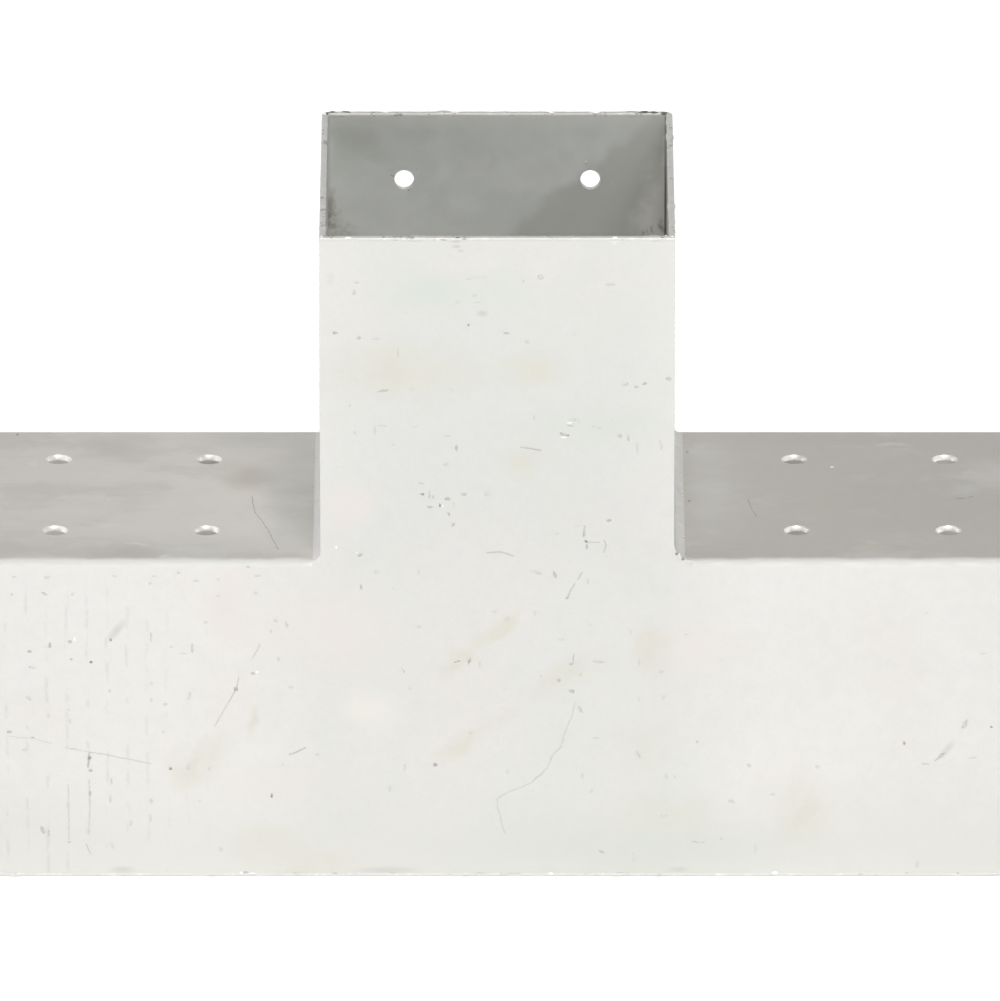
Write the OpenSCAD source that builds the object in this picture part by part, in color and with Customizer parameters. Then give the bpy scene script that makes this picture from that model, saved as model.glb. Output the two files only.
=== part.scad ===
// Post connector: a square sleeve for a post on the middle of a folded channel that straddles a beam.
// Millimetres. X runs along the channel, -Y is the front, +Z is up.
// The origin is on the floor, under the middle of the sleeve.

/* [Timber] */
// Clear width inside the sleeve and inside the channel
post_size = 91; // [71:1:141]

/* [Sheet] */
// Thickness of the sheet
sheet = 1.5; // [1:0.25:3]
// Inside radius of the channel's two long bends
bend_r = 0.5; // [0.25:0.25:3]
// Inside radius of the sleeve's two rear upright bends
corner_r = 1.0; // [0.25:0.25:4]

/* [Channel] */
// Height of the channel's walls, from the cut edge to the top of the arm plates
wall_h = 91; // [60:1:150]
// Length of each arm, from the side of the sleeve to the open end
arm_len = 103; // [90:1:180]

/* [Sleeve] */
// Height of the sleeve above the arm plates
sleeve_h = 92; // [50:1:180]

/* [Arm plate holes] */
// Diameter of the holes in the arm plates
arm_hole_d = 7; // [4:0.5:12]
// Distance from the side of the sleeve to the first pair of holes in the left arm
left_hole_start = 30.5; // [15:0.5:40]
// Distance from the side of the sleeve to the first pair of holes in the right arm
right_hole_start = 33; // [15:0.5:40]
// Distance between the two pairs, along the arm
arm_hole_pitch = 40.5; // [20:0.5:45]
// Distance between the holes of a pair, across the arm
arm_hole_gauge = 51; // [20:1:56]

/* [Sleeve holes] */
// Diameter of the holes in the sleeve's back wall
sleeve_hole_d = 5.5; // [4:0.5:10]
// Distance between the two holes
sleeve_hole_gauge = 50; // [20:1:56]
// Depth of the holes below the sleeve's rim
sleeve_hole_drop = 19; // [10:1:40]

/* [Welds] */
// Radius of the hollow fillet weld at the foot of the left side wall
left_weld_r = 2.2; // [0.5:0.1:5]
// Radius of the hollow fillet weld at the foot of the right side wall
right_weld_r = 3.2; // [0.5:0.1:5]
// Radius of the filled corner between the upright and the left arm
left_fill_r = 2.2; // [0.5:0.1:6]
// Radius of the filled corner between the upright and the right arm
right_fill_r = 5; // [0.5:0.1:6]

/* [Hidden] */
$fn = 96;

outer = post_size + 2 * sheet;
bend_out = bend_r + sheet;
corner_out = corner_r + sheet;
total_h = wall_h + sleeve_h;
// How far a cutting tool runs past the faces that it cuts
past = sheet;
// How far a weld reaches into the steel beside it
root = sheet / 2;

// Outline of a channel seen from its end: flat legs down to z = 0, and two rounded upper corners
module arch(width, height, radius) {
    translate([-width / 2, 0])
        square([width, height - radius]);
    translate([-width / 2 + radius, 0])
        square([width - 2 * radius, height]);
    for (side = [-1, 1])
        translate([side * (width / 2 - radius), height - radius])
            circle(r = radius);
}

// Outline of the sleeve seen from above: square corners at the front and rounded ones at the back
module sleeve_outline(width, radius) {
    translate([-width / 2, -width / 2])
        square([width, width - radius]);
    translate([-width / 2 + radius, -width / 2])
        square([width - 2 * radius, width]);
    for (side = [-1, 1])
        translate([side * (width / 2 - radius), width / 2 - radius])
            circle(r = radius);
}

// A section lying in YZ, carried along X over the given length, with its middle under the sleeve
module along_channel(length) {
    translate([-length / 2, 0, 0])
        rotate([90, 0, 90])
            linear_extrude(length)
                children();
}

// The post's way through the sleeve and on through the channel's plate
module post_opening() {
    translate([0, 0, wall_h - sheet - past])
        linear_extrude(sheet + sleeve_h + 2 * past)
            sleeve_outline(post_size, corner_r);
}

// Section of the channel through an arm, with its two long bends
module folded_section() {
    difference() {
        arch(outer, wall_h, bend_out);
        translate([0, -past])
            arch(post_size, wall_h - sheet + past, bend_r);
    }
}

// Section of the front and back walls under the sleeve, where they stay flat up to the plate's top
module flat_section() {
    difference() {
        translate([-outer / 2, 0])
            square([outer, wall_h]);
        translate([-post_size / 2, -past])
            square([post_size, wall_h + 2 * past]);
    }
}

// The four holes in one arm, on the right
module arm_holes(hole_start) {
    for (along = [0, 1], across = [-1, 1])
        translate([
            outer / 2 + hole_start + along * arm_hole_pitch,
            across * arm_hole_gauge / 2,
            wall_h - sheet - past
        ])
            cylinder(d = arm_hole_d, h = sheet + 2 * past);
}

// The folded channel: both arms, and between them the two walls that carry the sleeve
module channel() {
    difference() {
        union() {
            along_channel(outer + 2 * arm_len)
                folded_section();
            along_channel(outer)
                flat_section();
        }
        post_opening();
        arm_holes(right_hole_start);
        mirror([1, 0, 0])
            arm_holes(left_hole_start);
    }
}

// The sleeve: the front upright and the three-sided cover behind it, rooted in the channel's plate
module sleeve() {
    difference() {
        translate([0, 0, wall_h - sheet])
            linear_extrude(sheet + sleeve_h)
                sleeve_outline(outer, corner_out);
        post_opening();
        for (side = [-1, 1])
            translate([side * sleeve_hole_gauge / 2, outer / 2 - sheet - past, total_h - sleeve_hole_drop])
                rotate([-90, 0, 0])
                    cylinder(d = sleeve_hole_d, h = sheet + 2 * past);
    }
}

// Section of a hollow fillet in the corner at the origin, rooted in the steel beside and below it
module fillet_section(radius, depth) {
    difference() {
        translate([-root, -depth])
            square([root + radius, depth + radius]);
        translate([radius, radius])
            circle(r = radius);
    }
}

// Hollow fillet weld along the foot of the right side wall, on the arm plate
module foot_weld(radius) {
    front = -outer / 2 + root;
    back = outer / 2 - corner_out;
    translate([outer / 2, back, wall_h])
        rotate([90, 0, 0])
            linear_extrude(back - front)
                fillet_section(radius, root);
}

// Weld metal that fills the corner between the front upright and the right arm, flush with both
module corner_fill(radius) {
    translate([outer / 2, -outer / 2 + sheet, wall_h])
        rotate([90, 0, 0])
            linear_extrude(sheet)
                fillet_section(radius, bend_out + root);
}

module post_connector() {
    color("gainsboro") {
        channel();
        sleeve();
        foot_weld(right_weld_r);
        corner_fill(right_fill_r);
        mirror([1, 0, 0]) {
            foot_weld(left_weld_r);
            corner_fill(left_fill_r);
        }
    }
}

post_connector();
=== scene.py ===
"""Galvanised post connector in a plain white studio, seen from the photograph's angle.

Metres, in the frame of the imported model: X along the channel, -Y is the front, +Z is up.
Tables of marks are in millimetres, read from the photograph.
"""

import math

import bmesh
import bpy
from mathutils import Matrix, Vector


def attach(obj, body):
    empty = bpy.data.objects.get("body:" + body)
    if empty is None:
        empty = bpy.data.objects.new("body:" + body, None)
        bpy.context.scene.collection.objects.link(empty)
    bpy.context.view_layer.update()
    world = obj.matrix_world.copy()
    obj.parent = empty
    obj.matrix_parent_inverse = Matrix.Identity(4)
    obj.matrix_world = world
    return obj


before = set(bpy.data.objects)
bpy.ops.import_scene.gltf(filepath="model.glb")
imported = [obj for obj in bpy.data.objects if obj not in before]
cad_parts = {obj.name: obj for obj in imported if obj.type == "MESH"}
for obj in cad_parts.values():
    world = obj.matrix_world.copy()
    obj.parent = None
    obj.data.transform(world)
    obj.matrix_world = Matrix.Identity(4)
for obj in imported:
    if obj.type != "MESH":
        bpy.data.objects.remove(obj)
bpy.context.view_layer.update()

MM = 0.001
NODE = "post_connector"
BODY = "root"

# The part's own sizes, as in part.scad
SHEET = 1.5 * MM
HALF_WIDTH = 47 * MM
INNER = HALF_WIDTH - SHEET
ARM_END = 150 * MM
PLATE_TOP = 91 * MM
RIM = 183 * MM
BEND_OUT = 2 * MM
CORNER_OUT = 2.5 * MM
LEFT_HOLES_X = (-77.5 * MM, -118 * MM)
RIGHT_HOLES_X = (80 * MM, 120.5 * MM)
ARM_HOLE_Y = 25.5 * MM
ARM_HOLE_R = 3.5 * MM
SLEEVE_HOLE_X = 25 * MM
SLEEVE_HOLE_Z = 164 * MM
SLEEVE_HOLE_R = 2.75 * MM
LEFT_WELD_R = 2.2 * MM
RIGHT_WELD_R = 3.2 * MM

FACE_Y = -HALF_WIDTH
MID_SHEET = HALF_WIDTH - SHEET / 2


def srgb(red, green, blue):
    """A colour as seen on screen, 0 to 255, turned into the linear values that shaders take."""
    linear = [((c / 255 + 0.055) / 1.055) ** 2.4 for c in (red, green, blue)]
    return (*linear, 1.0)


ZINC = srgb(229, 229, 225)
WALL_PAINTED_LIGHT = srgb(240, 238, 234)
BEND_SHADE = srgb(219, 219, 214)
GREEN_BLOOM = srgb(222, 227, 218)
WARM_BLOOM = srgb(236, 232, 225)
PINK_BLOOM = srgb(238, 231, 227)
BRIGHT_BLOOM = srgb(244, 240, 230)
OLIVE_STAIN = srgb(226, 223, 210)
DAMP_GREY = srgb(223, 223, 217)
ARM_ZINC = srgb(236, 231, 225)
RIGHT_ARM_SHADE = srgb(216, 211, 205)
ARM_WARM = srgb(214, 209, 201)
ARM_COOL = srgb(222, 222, 217)
ARM_PALE = srgb(243, 240, 235)
INSIDE_ZINC = srgb(228, 229, 226)
INSIDE_DULL = srgb(213, 215, 210)
INSIDE_DARK = srgb(201, 202, 197)
INSIDE_LIGHT = srgb(252, 249, 245)
CORNER_SHADE = srgb(98, 95, 84)
RIM_ZINC = srgb(230, 229, 225)
RIM_DARK = srgb(150, 149, 142)
DIRT = srgb(138, 126, 106)
BLACK_DROSS = srgb(116, 115, 108)
DROSS = srgb(160, 157, 149)
GREY_DROSS = srgb(201, 200, 195)
FAINT_DROSS = srgb(219, 218, 213)
LINE_DROSS = srgb(211, 210, 205)
ARM_SCRATCH = srgb(182, 179, 173)
SHINY = srgb(250, 249, 246)


# Ways to add objects and nodes


def linked(name, data):
    """A new object in the scene that holds the given data."""
    made = bpy.data.objects.new(name, data)
    bpy.context.collection.objects.link(made)
    return made


def cleared_tree(owner):
    """The empty node tree of a material or of the world."""
    owner.use_nodes = True
    owner.node_tree.nodes.clear()
    return owner.node_tree


def add(tree, kind, values=None, **settings):
    """Add a node, set its properties, and fill or link the inputs named in values."""
    made = tree.nodes.new(kind)
    for name, value in settings.items():
        setattr(made, name, value)
    for socket, value in (values or {}).items():
        if isinstance(value, bpy.types.NodeSocket):
            tree.links.new(value, made.inputs[socket])
        else:
            made.inputs[socket].default_value = value
    return made


def maths(tree, operation, first, second=0.0, third=0.0, clamp=False):
    values = {0: first, 1: second, 2: third}
    return add(tree, "ShaderNodeMath", values, operation=operation, use_clamp=clamp).outputs[0]


def vectors(tree, operation, first, second=(0, 0, 0)):
    return add(tree, "ShaderNodeVectorMath", {0: first, 1: second}, operation=operation).outputs


def split(tree, vector):
    """A vector's x, y and z."""
    return add(tree, "ShaderNodeSeparateXYZ", {0: vector}).outputs


def scaled(tree, vector, amount):
    return add(tree, "ShaderNodeVectorMath", {0: vector, 3: amount}, operation="SCALE").outputs[0]


def joined(tree, x=0.0, y=0.0, z=0.0):
    return add(tree, "ShaderNodeCombineXYZ", {0: x, 1: y, 2: z}).outputs[0]


def ramp(tree, value, low, high, start=0.0, end=1.0, smooth=True):
    """Carry a value from one range to another, held at both ends."""
    values = {"Value": value, 1: low, 2: high, 3: start, 4: end}
    kind = "SMOOTHSTEP" if smooth else "LINEAR"
    return add(tree, "ShaderNodeMapRange", values, interpolation_type=kind).outputs[0]


def noises(tree, position, scale, detail=2.0, roughness=0.5, move=0.0):
    """Noise as a value and as a colour, at a scale, moved along so that two noises differ."""
    place = vectors(tree, "ADD", position, (move, 2 * move, -move))[0] if move else position
    values = {"Vector": place, "Scale": scale, "Detail": detail, "Roughness": roughness}
    return add(tree, "ShaderNodeTexNoise", values).outputs


def noise(tree, position, scale, detail=2.0, roughness=0.5, move=0.0):
    """Noise as a value only."""
    return noises(tree, position, scale, detail, roughness, move)[0]


def wander(tree, position, scale, detail, roughness, move=0.0):
    """A vector that wavers about zero, each way by up to half."""
    shift = noises(tree, position, scale, detail, roughness, move)[1]
    return vectors(tree, "SUBTRACT", shift, (0.5, 0.5, 0.5))[0]


def blend(tree, factor, first, second, mode="MIX"):
    values = {0: factor, 6: first, 7: second}
    return add(tree, "ShaderNodeMix", values, data_type="RGBA", blend_type=mode).outputs[2]


def product(tree, *masks):
    """Masks multiplied together."""
    total = masks[0]
    for mask in masks[1:]:
        total = maths(tree, "MULTIPLY", total, mask)
    return total


# Camera and studio


def make_camera():
    """The photograph's camera: far off, level with the middle and 22 degrees above the horizon."""
    distance = 5.64
    elevation = math.radians(21.9)
    aim = Vector((0.76 * MM, FACE_Y, 108.23 * MM))
    camera_data = bpy.data.cameras.new("camera")
    camera_data.sensor_width = 36
    camera_data.lens = 763.5
    camera_data.clip_start = 0.1
    camera_data.clip_end = 30
    camera = linked("camera", camera_data)
    camera.location = aim + distance * Vector((0, -math.cos(elevation), math.sin(elevation)))
    camera.rotation_euler = (math.pi / 2 - elevation, 0, 0)
    bpy.context.scene.camera = camera


def shown_ray(tree):
    """1 for the rays that show the plain background: the camera's, and those in metal and glass."""
    path = add(tree, "ShaderNodeLightPath")
    total = maths(tree, "ADD", path.outputs["Is Camera Ray"], path.outputs["Is Glossy Ray"])
    return maths(tree, "ADD", total, path.outputs["Is Transmission Ray"], clamp=True)


def make_world():
    world = bpy.data.worlds.new("white_studio")
    bpy.context.scene.world = world
    tree = cleared_tree(world)
    lighting = add(tree, "ShaderNodeBackground", {"Color": (0.97, 0.99, 1.0, 1), "Strength": 0.16})
    backdrop = add(tree, "ShaderNodeBackground", {"Color": (1, 1, 1, 1), "Strength": 1.0})
    values = {0: shown_ray(tree), 1: lighting.outputs[0], 2: backdrop.outputs[0]}
    both = add(tree, "ShaderNodeMixShader", values)
    add(tree, "ShaderNodeOutputWorld", {"Surface": both.outputs[0]})


def floor_material():
    """Matt white, lifted to plain white for the eye, more so far off, and clear from underneath."""
    material = bpy.data.materials.new("floor_white")
    tree = cleared_tree(material)
    matt = add(tree, "ShaderNodeBsdfDiffuse", {"Color": (0.82, 0.82, 0.82, 1)})
    position = add(tree, "ShaderNodeTexCoord").outputs["Object"]
    near, distant, near_glow = 0.25, 0.7, 0.74
    far = ramp(tree, vectors(tree, "LENGTH", position)[1], near, distant, near_glow, 1.0)
    glow = add(tree, "ShaderNodeEmission", {"Color": (1, 1, 1, 1)})
    tree.links.new(maths(tree, "MULTIPLY", shown_ray(tree), far), glow.inputs["Strength"])
    lifted = add(tree, "ShaderNodeAddShader", {0: matt.outputs[0], 1: glow.outputs[0]})
    clear = add(tree, "ShaderNodeBsdfTransparent")
    behind = add(tree, "ShaderNodeNewGeometry").outputs["Backfacing"]
    values = {0: behind, 1: lifted.outputs[0], 2: clear.outputs[0]}
    both = add(tree, "ShaderNodeMixShader", values)
    add(tree, "ShaderNodeOutputMaterial", {"Surface": both.outputs[0]})
    return material


def make_floor():
    half = 2.0
    drop = -0.4 * MM
    mesh = bpy.data.meshes.new("floor")
    corners = [(-half, -half, drop), (half, -half, drop), (half, half, drop), (-half, half, drop)]
    mesh.from_pydata(corners, [], [(0, 1, 2, 3)])
    mesh.materials.append(floor_material())
    floor = linked("floor", mesh)


# A low key in front that grazes the arms, a high one, and low fills at the sides and behind:
# name, place, width, height, power, and whether it gleams in the metal
SOFTBOXES = [
    ("front_key", (-0.25, -2.1, 0.16), 1.8, 0.3, 8.5, True),
    ("high_key", (0.3, -1.75, 1.5), 0.9, 0.9, 18, True),
    ("right_fill", (2.1, -0.3, 0.17), 1.3, 0.3, 5, False),
    ("left_fill", (-2.1, -0.3, 0.5), 1.3, 0.4, 13, False),
    ("rear_fill", (0.3, 2.2, 0.2), 1.6, 0.4, 17, False),
]
LAMP_AIM = Vector((0, 0, 90 * MM))


def add_softbox(name, place, width, height, power, gleams):
    """A lamp aimed at the part."""
    lamp = bpy.data.lights.new(name, "AREA")
    lamp.shape = "RECTANGLE"
    lamp.size = width
    lamp.size_y = height
    lamp.energy = power
    softbox = linked(name, lamp)
    softbox.location = place
    aim = LAMP_AIM - softbox.location
    softbox.rotation_euler = aim.to_track_quat("-Z", "Y").to_euler()
    softbox.visible_camera = False
    softbox.visible_glossy = gleams


def light_studio():
    for softbox in SOFTBOXES:
        add_softbox(*softbox)


# Effects in the zinc coat, as node groups with named inputs


def new_group(name, inputs, outputs):
    """A shader node group with named sockets; returns its tree, its inputs and its outputs."""
    kinds = {"f": "NodeSocketFloat", "v": "NodeSocketVector", "c": "NodeSocketColor"}
    tree = bpy.data.node_groups.new(name, "ShaderNodeTree")
    for label, kind in inputs:
        tree.interface.new_socket(label, in_out="INPUT", socket_type=kinds[kind])
    for label, kind in outputs:
        tree.interface.new_socket(label, in_out="OUTPUT", socket_type=kinds[kind])
    return tree, add(tree, "NodeGroupInput").outputs, add(tree, "NodeGroupOutput").inputs


def use_group(tree, group, values):
    """Place a node group in a material and fill its inputs."""
    placed = tree.nodes.new("ShaderNodeGroup")
    placed.node_tree = group
    for name, value in values.items():
        if isinstance(value, bpy.types.NodeSocket):
            tree.links.new(value, placed.inputs[name])
        else:
            placed.inputs[name].default_value = value
    return placed.outputs


def cloud_group():
    """The zinc's cloudy blooms and its fine mottle, over a base painted lighter towards the ends
    and low down, as painted light.
    """
    outputs = [("Color", "c"), ("Mottle", "f")]
    tree, given, result = new_group("zinc_clouds", [("Position", "v")], outputs)
    place = given["Position"]
    blooms = noises(tree, place, 26, 3.0, 0.58)[1]
    green, warm, pink = add(tree, "ShaderNodeSeparateColor", {0: blooms}).outputs
    x, _, z = split(tree, place)
    # Painted light: the base is lightened away from the middle and low down, standing in for light
    # that falls there
    painted_wall_light = ramp(tree, maths(tree, "ABSOLUTE", x), 25 * MM, 75 * MM)
    painted_wall_light = maths(tree, "MAXIMUM", painted_wall_light, ramp(tree, z, 105 * MM, 75 * MM, 0.0, 0.35))
    colour = blend(tree, painted_wall_light, ZINC, WALL_PAINTED_LIGHT)
    for bloom, edge, heart, most, tint in (
        (green, 0.48, 0.74, 0.14, GREEN_BLOOM),
        (warm, 0.48, 0.72, 0.4, WARM_BLOOM),
        (pink, 0.52, 0.74, 0.3, PINK_BLOOM),
    ):
        colour = blend(tree, ramp(tree, bloom, edge, heart, 0, most), colour, tint)
    mottle = noise(tree, place, 210, 4.0, 0.66, 0.2)
    grain = noise(tree, place, 1500, 1.0, 0.6, 0.4)
    shade = ramp(tree, mottle, 0.3, 0.7, -0.024, 0.008)
    shade = maths(tree, "ADD", shade, ramp(tree, grain, 0.25, 0.75, 0.991, 1.009))
    both = add(tree, "ShaderNodeCombineColor", {0: shade, 1: shade, 2: shade}).outputs[0]
    tree.links.new(blend(tree, 1.0, colour, both, "MULTIPLY"), result["Color"])
    tree.links.new(mottle, result["Mottle"])
    return tree


def relief_group():
    """The slight unevenness of the coat, for bump."""
    tree, given, result = new_group("zinc_relief", [("Position", "v")], [("Height", "f")])
    place = vectors(tree, "MULTIPLY", given["Position"], (0.75, 1.0, 1.0))[0]
    tree.links.new(noise(tree, place, 85, 4.0, 0.52, 0.6), result["Height"])
    return tree


def run_mark_group():
    """Faint upright rows of dots where the bare sheet was handled before it was dipped."""
    inputs = [("Position", "v"), ("Pitch", "f"), ("Left", "f"), ("Right", "f")]
    tree, given, result = new_group("run_marks", inputs, [("Mask", "f")])
    x, _, z = split(tree, given["Position"])
    waver = noise(tree, given["Position"], 35, 1.0)
    lean = maths(tree, "MULTIPLY_ADD", waver, 1.6 * MM, x)
    phase = maths(tree, "FRACT", maths(tree, "DIVIDE", lean, given["Pitch"]))
    off = maths(tree, "ABSOLUTE", maths(tree, "SUBTRACT", phase, 0.5))
    row = ramp(tree, off, 0.15, 0.02)
    drawn = vectors(tree, "MULTIPLY", given["Position"], (1.0, 1.0, 0.45))[0]
    dots = ramp(tree, noise(tree, drawn, 420, 2.0, 0.6, 0.7), 0.5, 0.66)
    inside = ramp(tree, x, given["Right"], given["Left"])
    low = ramp(tree, z, PLATE_TOP - 1 * MM, PLATE_TOP - 15 * MM)
    tree.links.new(product(tree, inside, row, dots, low), result["Mask"])
    return tree


def make_groups():
    return {"clouds": cloud_group(), "relief": relief_group(), "runs": run_mark_group()}


# Soft spots in the coat, in mm on the face: across, up, half width, half height, strength.
# Olive stains on the front: upright ones and, in the next table, those that lean like brush strokes
OLIVE_SPOTS = [
    (-26, 145.5, 23, 9, 0.8),
    (9, 145.5, 9, 6, 0.7),
    (6, 120, 7, 5, 0.7),
    (-61, 9, 13, 7, 0.6),
    (-50, 4, 13, 5, 0.6),
    (41, 65, 5.5, 9, 0.7),
    (39, 37, 9, 10, 0.4),
    (47, 18, 18, 6, 0.55),
    (81, 19, 9, 13, 0.7),
    (-65.6, 44.5, 1.8, 4.5, 0.8),
]
STROKE_LEAN = 36
OLIVE_STROKES = [
    (-0.5, 70.5, 9, 3, 1.0),
    (-11, 61.8, 8, 3.6, 0.8),
    (-10.5, 37.5, 9, 4, 0.7),
    (-5, 42, 15, 3, 0.5),
    (17.6, 57.1, 13, 5.5, 0.7),
    (-80, 33, 11, 6.5, 0.75),
]
GREEN_SPOTS = [
    (-17, 168, 15, 7, 0.9),
    (0, 168, 12, 6, 0.45),
    (30, 130, 20, 4, 0.5),
    (36, 8, 52, 9, 0.85),
]
PINK_SPOTS = [
    (-71, 79, 8, 13, 0.8),
    (-42, 71, 20, 14, 0.6),
    (-40, 107, 9, 7, 0.8),
    (52, 66, 14, 8, 0.6),
    (-60, 28, 26, 6, 0.5),
]
BRIGHT_SPOTS = [
    (-34, 48, 9.5, 7, 0.5),
    (-39.5, 183, 2.2, 1.2, 0.8),
    (31.3, 183, 1.8, 0.8, 0.8),
]
# Grey smears on the front: below the rim, by a pit on the left, and by a gouge on the right
SMEAR_SPOTS = [
    (-10.7, 180.6, 1.4, 0.6, 0.7),
    (-9.6, 179.4, 1.0, 0.5, 0.5),
    (-10.9, 182.2, 1.5, 0.6, 0.8),
    (-4.0, 161.6, 1.7, 1.0, 0.6),
    (-44.1, 171.6, 1.2, 2.2, 0.2),
    (-29.5, 1.7, 9, 1.1, 0.45),
    (-100.2, 1.8, 3.6, 1.1, 0.5),
    (48.6, 1.9, 3.0, 0.9, 0.4),
]
SMEAR_LEAN = 52
LEANING_SMEARS = [
    (-101.4, 70.9, 4.2, 1.3, 0.8),
    (120.0, 36.5, 3.4, 1.1, 0.8),
    (124.7, 43.6, 2.0, 0.7, 0.5),
]
# On the arm plates: cool clouds, warm dull ones, and pale streaks
COOL_SPOTS = [
    (-54, 0, 9, 60, 0.9),
    (-88, -40, 44, 12, 0.55),
    (-138, 42, 16, 12, 0.6),
    (-130, -40, 12, 10, 0.6),
    (-65, 44, 20, 12, 0.6),
    (57, 5, 8, 45, 0.9),
    (126, 3, 5, 5, 0.9),
]
WARM_SPOTS = [
    (-103, 34, 12, 11, 0.7),
    (-66, 12, 9, 9, 0.8),
    (-98, -42, 13, 8, 0.9),
    (96, 0, 30, 24, 0.5),
    (110, -4, 16, 12, 0.6),
    (80, 38, 30, 10, 0.4),
    (96, -42, 60, 10, 0.9),
]
PALE_SPOTS = [
    (-122, -2, 26, 12, 0.5),
    (-124.5, 22, 1.6, 1.5, 0.8),
    (-103.4, -3, 2.0, 1.0, 0.8),
    (-102.6, -22.5, 3.2, 1.2, 0.8),
    (-96, -35.5, 3.4, 1.2, 0.7),
    (-86, 15.5, 3.4, 1.0, 0.7),
    (-87.5, -44.5, 2.2, 1.6, 0.9),
    (138, 16, 14, 12, 0.5),
    (106, 36, 5, 2, 0.5),
]
# In the sleeve: dull areas, darker ones, and dirt low in its corners
DULL_SPOTS = [
    (-36, 176, 9, 6, 0.8),
    (-30, 176, 20, 12, 0.6),
    (6, 186, 52, 20, 0.9),
    (12, 150, 36, 6, 0.4),
]
DARK_SPOTS = [
    (-37, 177, 9, 6.5, 0.85),
    (-32, 172.5, 5, 4, 0.5),
    (-24, 185, 38, 9, 0.95),
    (18, 185, 44, 8, 0.5),
]
DIRT_SPOTS = [
    (-44.5, 154.0, 2.2, 7.5, 0.7),
    (-42.0, 149.0, 2.6, 3.4, 0.35),
    (45.0, 149.5, 1.0, 3.0, 0.55),
    (42.0, 148.8, 0.7, 1.4, 0.7),
    (38.6, 148.8, 0.5, 1.2, 0.7),
    (39.8, 148.6, 0.4, 1.0, 0.6),
    (-24.6, 160.6, 0.3, 0.3, 0.8),
    (-28.4, 165.0, 0.4, 0.4, 0.6),
    (-22.0, 166.4, 0.4, 0.4, 0.6),
]


# How far stains and blooms waver
STAIN_WAVER = 9 * MM
# A spot fades over this range of its own half size
SPOT_EDGE, SPOT_HEART = 1.3, 0.2


def spots(tree, place, table, face, lean=0):
    """The strongest of a table's soft ovals, on one face only. The place is in the face's plane."""
    lean = math.radians(lean)
    if lean:
        turned = {"Vector": place, "Angle": -lean}
        place = add(tree, "ShaderNodeVectorRotate", turned, rotation_type="Z_AXIS").outputs[0]
    nearest = None
    for across, up, half_width, half_height, strength in table:
        # A weak spot is a strong one seen from a way off its plane, so one ramp serves them all
        reach = 0.5 - math.sin(math.asin(1 - 2 * strength) / 3)
        off = SPOT_EDGE - (SPOT_EDGE - SPOT_HEART) * reach
        spread = SPOT_EDGE / math.sqrt(SPOT_EDGE**2 - off**2)
        wide, high = half_width * spread * MM, half_height * spread * MM
        u = (across * math.cos(lean) + up * math.sin(lean)) * MM
        v = (up * math.cos(lean) - across * math.sin(lean)) * MM
        values = {0: place, 1: (1 / wide, 1 / high, 0), 2: (-u / wide, -v / high, off)}
        away = add(tree, "ShaderNodeVectorMath", values, operation="MULTIPLY_ADD").outputs[0]
        far = vectors(tree, "LENGTH", away)[1]
        nearest = far if nearest is None else maths(tree, "MINIMUM", nearest, far)
    return maths(tree, "MULTIPLY", ramp(tree, nearest, SPOT_EDGE, SPOT_HEART), face)


def layered(tree, place, face, colour, layers):
    """Lay tables of soft spots over a colour in turn, each in its own tint."""
    for table, tint in layers:
        colour = blend(tree, spots(tree, place, table, face), colour, tint)
    return colour


def warped(tree, position):
    """The position, wavering, so that stains and blooms get ragged edges."""
    shift = scaled(tree, wander(tree, position, 120, 3.0, 0.6, 0.9), STAIN_WAVER)
    return vectors(tree, "ADD", position, shift)[0]


def start_zinc(name, metallic):
    """A new metal material; returns it with its tree, shader and object coordinates."""
    material = bpy.data.materials.new(name)
    tree = cleared_tree(material)
    shader = add(tree, "ShaderNodeBsdfPrincipled")
    add(tree, "ShaderNodeOutputMaterial", {"Surface": shader.outputs[0]})
    shader.inputs["Metallic"].default_value = metallic
    shader.inputs["Specular IOR Level"].default_value = 0.3
    position = add(tree, "ShaderNodeTexCoord").outputs["Object"]
    return material, tree, shader, position


def add_relief(tree, groups, shader, position, strength, depth):
    """Give a material the coat's slight unevenness, by bump."""
    height = use_group(tree, groups["relief"], {"Position": position})[0]
    values = {"Strength": strength, "Distance": depth, "Height": height}
    bump = add(tree, "ShaderNodeBump", values)
    tree.links.new(bump.outputs[0], shader.inputs["Normal"])


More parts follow.
